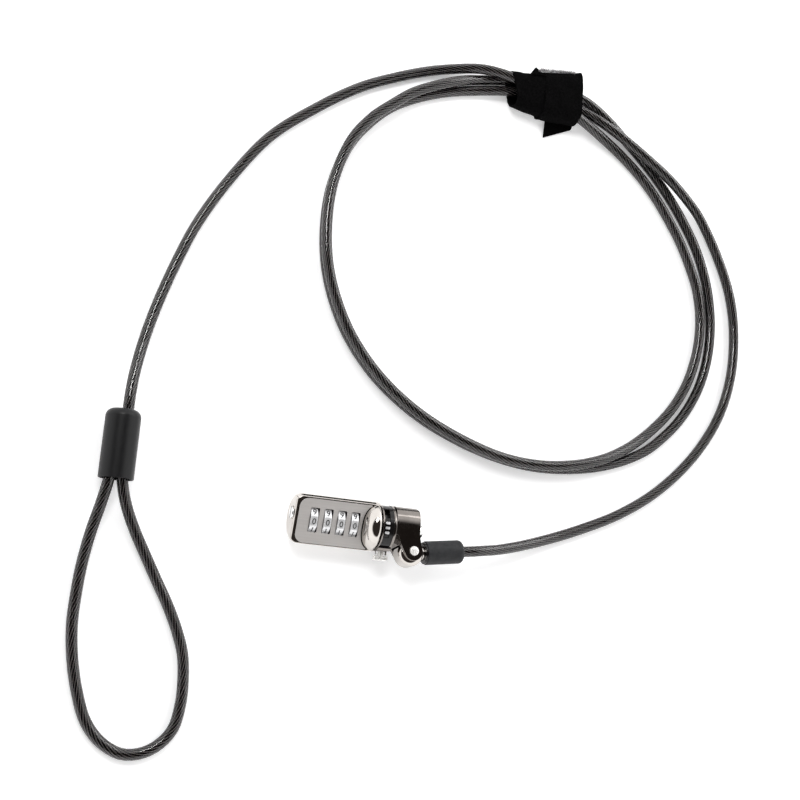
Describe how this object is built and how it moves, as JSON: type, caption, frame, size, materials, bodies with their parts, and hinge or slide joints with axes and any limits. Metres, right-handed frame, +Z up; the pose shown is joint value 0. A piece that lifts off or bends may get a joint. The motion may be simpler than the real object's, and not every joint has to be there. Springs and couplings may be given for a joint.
{
  "type": "laptop cable lock",
  "caption": "Barrel combination lock head on a swivelling yoke, with a coiled vinyl-covered steel cable that ends in a crimped loop.",
  "frame": {"origin": "centre of the underside of the head, yoke and boot together, on the surface they lie on", "axes": "+X along the lock head from its closed end to the yoke, +Z up off the surface, +Y across towards the coiled cable"},
  "size_m": [0.3214, 0.3452, 0.0221],
  "materials": {
    "black_nickel": "polished black nickel plate",
    "satin_grey": "satin",
    "bright_steel": "bright",
    "spring_steel": "plain",
    "brass": "turned",
    "rubber": "matte",
    "smoked_vinyl": "glossy, clear over dark strands",
    "hook_and_loop": "napped"
  },
  "bodies": {
    "cable": {"cable_lug": "black_nickel", "lug_ferrule": "black_nickel", "cable_boot": "rubber", "cable_run": "smoked_vinyl", "cable_loop": "smoked_vinyl", "crimp_cover": "rubber", "crimp_ferrule": "bright_steel", "cable_tie": "hook_and_loop"},
    "yoke_group": {"yoke": "black_nickel", "yoke_rivet": "bright_steel", "swivel_washer": "bright_steel"},
    "head": {"lock_body": "black_nickel", "dial_plate": "satin_grey", "dial_spindle": "bright_steel", "spindle_bush": "brass", "spindle_spring": "spring_steel", "detent_spring": "spring_steel", "collar_ring": "black_nickel", "abutment_pin_1": "bright_steel", "abutment_pin_2": "bright_steel", "swivel_post": "bright_steel"},
    "dial_1": {"dial_wheel_1": "bright_steel", "code_sleeve_1": "brass"},
    "dial_2": {"dial_wheel_2": "bright_steel", "code_sleeve_2": "brass"},
    "dial_3": {"dial_wheel_3": "bright_steel", "code_sleeve_3": "brass"},
    "dial_4": {"dial_wheel_4": "bright_steel", "code_sleeve_4": "brass"},
    "reset": {"reset_screw": "bright_steel"},
    "slider": {"thumb_slider": "black_nickel"},
    "tbar": {"tbar_cleat": "bright_steel", "tbar_pinion": "brass"},
    "fence": {"fence_bar": "bright_steel"}
  },
  "joints": [
    {"name": "yoke_pivot", "type": "hinge", "parent": "cable", "child": "yoke_group", "pos_m": [0.01455, -0.008, 0.01269], "axis": [0, 0.1392, 0.9903], "range_deg": [-8, 110]},
    {"name": "head_swivel", "type": "hinge", "parent": "yoke_group", "child": "head", "pos_m": [-0.04095, 0.0026, 0.0112], "axis": [-1, 0, 0], "continuous": true},
    {"name": "dial_1_turn", "type": "hinge", "parent": "head", "child": "dial_1", "pos_m": [-0.03175, 0.00315, 0.00928], "axis": [1, 0, 0], "continuous": true},
    {"name": "dial_2_turn", "type": "hinge", "parent": "head", "child": "dial_2", "pos_m": [-0.02545, 0.00315, 0.00928], "axis": [1, 0, 0], "continuous": true},
    {"name": "dial_3_turn", "type": "hinge", "parent": "head", "child": "dial_3", "pos_m": [-0.01915, 0.00315, 0.00928], "axis": [1, 0, 0], "continuous": true},
    {"name": "dial_4_turn", "type": "hinge", "parent": "head", "child": "dial_4", "pos_m": [-0.01285, 0.00315, 0.00928], "axis": [1, 0, 0], "continuous": true},
    {"name": "reset_screw_turn", "type": "hinge", "parent": "head", "child": "reset", "pos_m": [-0.04095, 0.00455, 0.01238], "axis": [1, 0, 0], "range_deg": [0, 90]},
    {"name": "slider_turn", "type": "hinge", "parent": "head", "child": "slider", "pos_m": [-0.04095, 0.0026, 0.0112], "axis": [-1, 0, 0], "range_deg": [0, 28]},
    {"name": "tbar_turn", "type": "hinge", "parent": "head", "child": "tbar", "pos_m": [0.00185, 0.0026, 0.0112], "axis": [0, -1, 0], "range_deg": [0, 90]},
    {"name": "fence_slide", "type": "slide", "parent": "head", "child": "fence", "axis": [0, 0.9613, 0.2756], "range_m": [0, 0.001]}
  ],
  "couplings": [
    {"joint": "tbar_turn", "follows": "slider_turn", "ratio": 3.214},
    {"joint": "fence_slide", "follows": "slider_turn", "m_per_rad": 0.00204}
  ]
}
